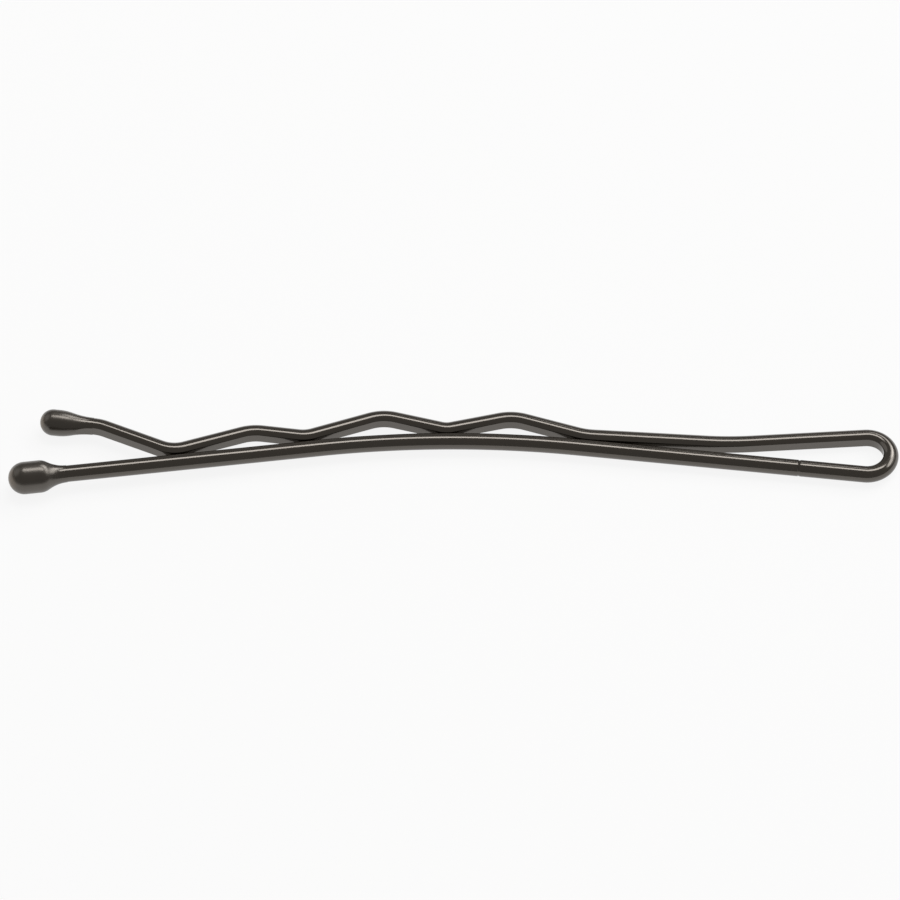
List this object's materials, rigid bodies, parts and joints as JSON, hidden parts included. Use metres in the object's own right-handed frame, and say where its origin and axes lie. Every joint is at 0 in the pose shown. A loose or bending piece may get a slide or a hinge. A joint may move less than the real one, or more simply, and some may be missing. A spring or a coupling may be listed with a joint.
{
  "type": "bobby pin",
  "caption": "Hair grip bent from one enamelled spring wire: a bowed straight leg, a crimped leg that presses on it, a round loop between them and teardrop tips on the ends.",
  "frame": {"origin": "on the axis of the loop's bend, halfway up the wire", "axes": "+X from the tips to the loop, +Y from the straight leg to the crimped leg, +Z along the axis of the bend, up when the pin lies flat"},
  "size_m": [0.0508, 0.0057, 0.0018],
  "materials": {
    "enamelled_steel": "hardened spring wire under a glossy warm-black enamel",
    "tip_lacquer": "glossy warm-black dipped lacquer, thicker and smoother than the enamel"
  },
  "bodies": {
    "straight_leg": {"straight_leg_wire": "enamelled_steel", "straight_leg_tip": "tip_lacquer", "spring_bend_wire": "enamelled_steel"},
    "crimped_leg": {"crimped_leg_wire": "enamelled_steel", "crimped_leg_tip": "tip_lacquer"}
  },
  "joints": [
    {"name": "leg_spread", "type": "hinge", "parent": "straight_leg", "child": "crimped_leg", "pos_m": [0, 0, 0], "axis": [0, 0, -1], "range_deg": [0, 20], "stiffness_Nm_per_rad": 0.13, "springref_deg": -2.86, "deforming": ["spring_bend_wire"]}
  ]
}
